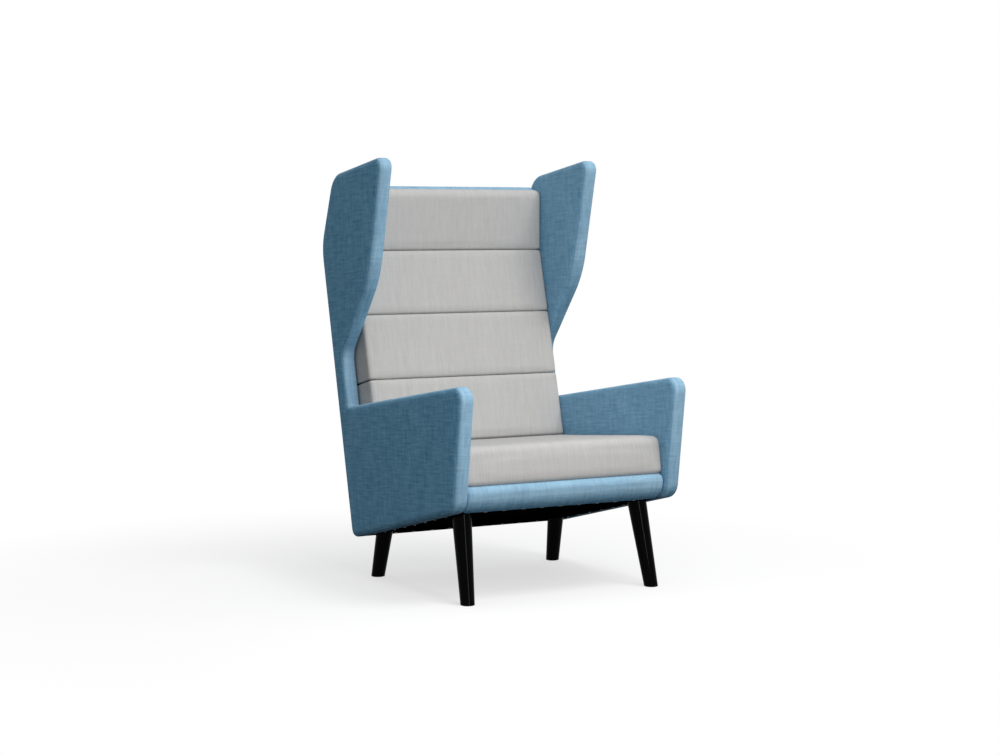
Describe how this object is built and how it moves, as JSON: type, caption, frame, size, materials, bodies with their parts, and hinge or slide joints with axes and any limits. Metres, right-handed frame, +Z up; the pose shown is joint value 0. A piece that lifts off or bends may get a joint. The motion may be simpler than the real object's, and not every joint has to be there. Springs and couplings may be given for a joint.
{
  "type": "acoustic high back lounge chair",
  "caption": "Lounge chair with padded side walls that are arm and head wing in one, a tall channelled back cushion, a loose seat cushion and turned tapered legs.",
  "frame": {"origin": "centre of the bounding box, on the floor", "axes": "+Z up, -Y is the front, +X is the right side as seen from the front"},
  "size_m": [0.78, 0.9171, 1.3],
  "materials": {
    "blue_fabric": "melange wool weave, matt",
    "grey_fabric": "fine wool weave, matt",
    "foam": "open-cell foam",
    "lining_cloth": "thin woven lining",
    "plywood": "birch plywood, bare",
    "hardwood": "beech, bare",
    "felt": "needled felt",
    "webbing": "woven tape",
    "black_wood": "black lacquer, satin",
    "black_plastic": "moulded, matt",
    "spring_steel": "oiled spring wire",
    "zinc_steel": "zinc plated"
  },
  "bodies": {
    "root": {"back_board": "plywood", "back_bolts": "zinc_steel", "back_cover": "blue_fabric", "back_cushion_backing": "lining_cloth", "back_cushion_cover": "grey_fabric", "back_front_foam": "foam", "back_rear_foam": "foam", "dust_cover": "lining_cloth", "dust_cover_staples": "zinc_steel", "front_beam": "hardwood", "front_left_corner_block": "hardwood", "front_left_glide": "black_plastic", "front_left_leg": "black_wood", "front_rail_cover": "blue_fabric", "front_rail_foam": "foam", "front_right_corner_block": "hardwood", "front_right_glide": "black_plastic", "front_right_leg": "black_wood", "head_section_foam": "foam", "left_seat_rail": "hardwood", "left_side_base_strip": "webbing", "left_side_board": "plywood", "left_side_cover": "blue_fabric", "left_side_inner_foam": "foam", "left_side_outer_foam": "foam", "leg_bolts": "zinc_steel", "leg_plate_screws": "zinc_steel", "leg_plates": "zinc_steel", "lumbar_section_foam": "foam", "middle_section_foam": "foam", "rear_beam": "hardwood", "rear_left_corner_block": "hardwood", "rear_left_glide": "black_plastic", "rear_left_leg": "black_wood", "rear_right_corner_block": "hardwood", "rear_right_glide": "black_plastic", "rear_right_leg": "black_wood", "right_seat_rail": "hardwood", "right_side_base_strip": "webbing", "right_side_board": "plywood", "right_side_cover": "blue_fabric", "right_side_inner_foam": "foam", "right_side_outer_foam": "foam", "seat_bolts": "zinc_steel", "seat_cushion_base": "lining_cloth", "seat_cushion_cover": "grey_fabric", "seat_cushion_foam": "foam", "seat_deck_pad": "felt", "seat_nuts": "zinc_steel", "seat_spring_1": "spring_steel", "seat_spring_2": "spring_steel", "seat_spring_3": "spring_steel", "seat_spring_4": "spring_steel", "seat_spring_5": "spring_steel", "shoulder_section_foam": "foam", "spring_clips": "zinc_steel"}
  },
  "joints": []
}
